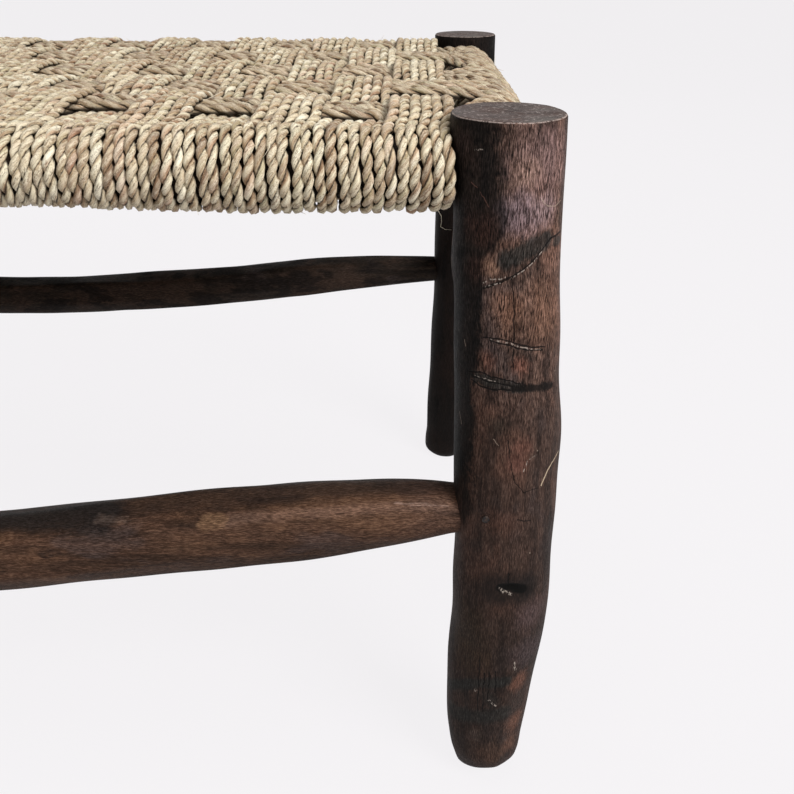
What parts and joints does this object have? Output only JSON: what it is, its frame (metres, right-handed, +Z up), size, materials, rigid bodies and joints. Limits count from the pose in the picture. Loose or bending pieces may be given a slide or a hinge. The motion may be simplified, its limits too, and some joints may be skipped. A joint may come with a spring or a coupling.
{
  "type": "woven bench",
  "caption": "Low rustic bench of crooked branch legs, round rails and bowed stretchers, with a seat woven from twisted palm rope.",
  "frame": {"origin": "on the floor under the middle of the bench", "axes": "+X along the bench to the right, +Y to the back, +Z up"},
  "size_m": [0.9952, 0.4645, 0.448],
  "materials": {
    "leg_wood": "dark stained branch, low sheen",
    "stretcher_wood": "dark brown hewn branch, low sheen",
    "rail_wood": "plain peeled branch under the rope",
    "nail_iron": "dull dark iron",
    "warp_rope": "dry twisted palm leaf",
    "weft_rope": "dry twisted palm leaf"
  },
  "bodies": {
    "root": {"leg_front_right": "leg_wood", "leg_front_left": "leg_wood", "leg_back_right": "leg_wood", "leg_back_left": "leg_wood", "rail_front": "rail_wood", "rail_back": "rail_wood", "rail_left": "rail_wood", "rail_right": "rail_wood", "stretcher_front": "stretcher_wood", "stretcher_back": "stretcher_wood", "stretcher_left": "stretcher_wood", "stretcher_right": "stretcher_wood", "nail_front_right_front": "nail_iron", "nail_front_right_right": "nail_iron", "nail_front_left_front": "nail_iron", "nail_front_left_left": "nail_iron", "nail_back_right_back": "nail_iron", "nail_back_right_right": "nail_iron", "nail_back_left_back": "nail_iron", "nail_back_left_left": "nail_iron", "warp_band_01": "warp_rope", "warp_band_02": "warp_rope", "warp_band_03": "warp_rope", "warp_band_04": "warp_rope", "warp_band_05": "warp_rope", "warp_band_06": "warp_rope", "warp_band_07": "warp_rope", "warp_band_08": "warp_rope", "warp_band_09": "warp_rope", "warp_band_10": "warp_rope", "warp_band_11": "warp_rope", "warp_band_12": "warp_rope", "warp_band_13": "warp_rope", "warp_band_14": "warp_rope", "warp_band_15": "warp_rope", "warp_band_16": "warp_rope", "warp_band_17": "warp_rope", "warp_band_18": "warp_rope", "warp_band_19": "warp_rope", "warp_band_20": "warp_rope", "warp_band_21": "warp_rope", "warp_band_22": "warp_rope", "warp_band_23": "warp_rope", "warp_band_24": "warp_rope", "weft_band_1": "weft_rope", "weft_band_2": "weft_rope", "weft_band_3": "weft_rope", "weft_band_4": "weft_rope", "weft_band_5": "weft_rope"}
  },
  "joints": []
}
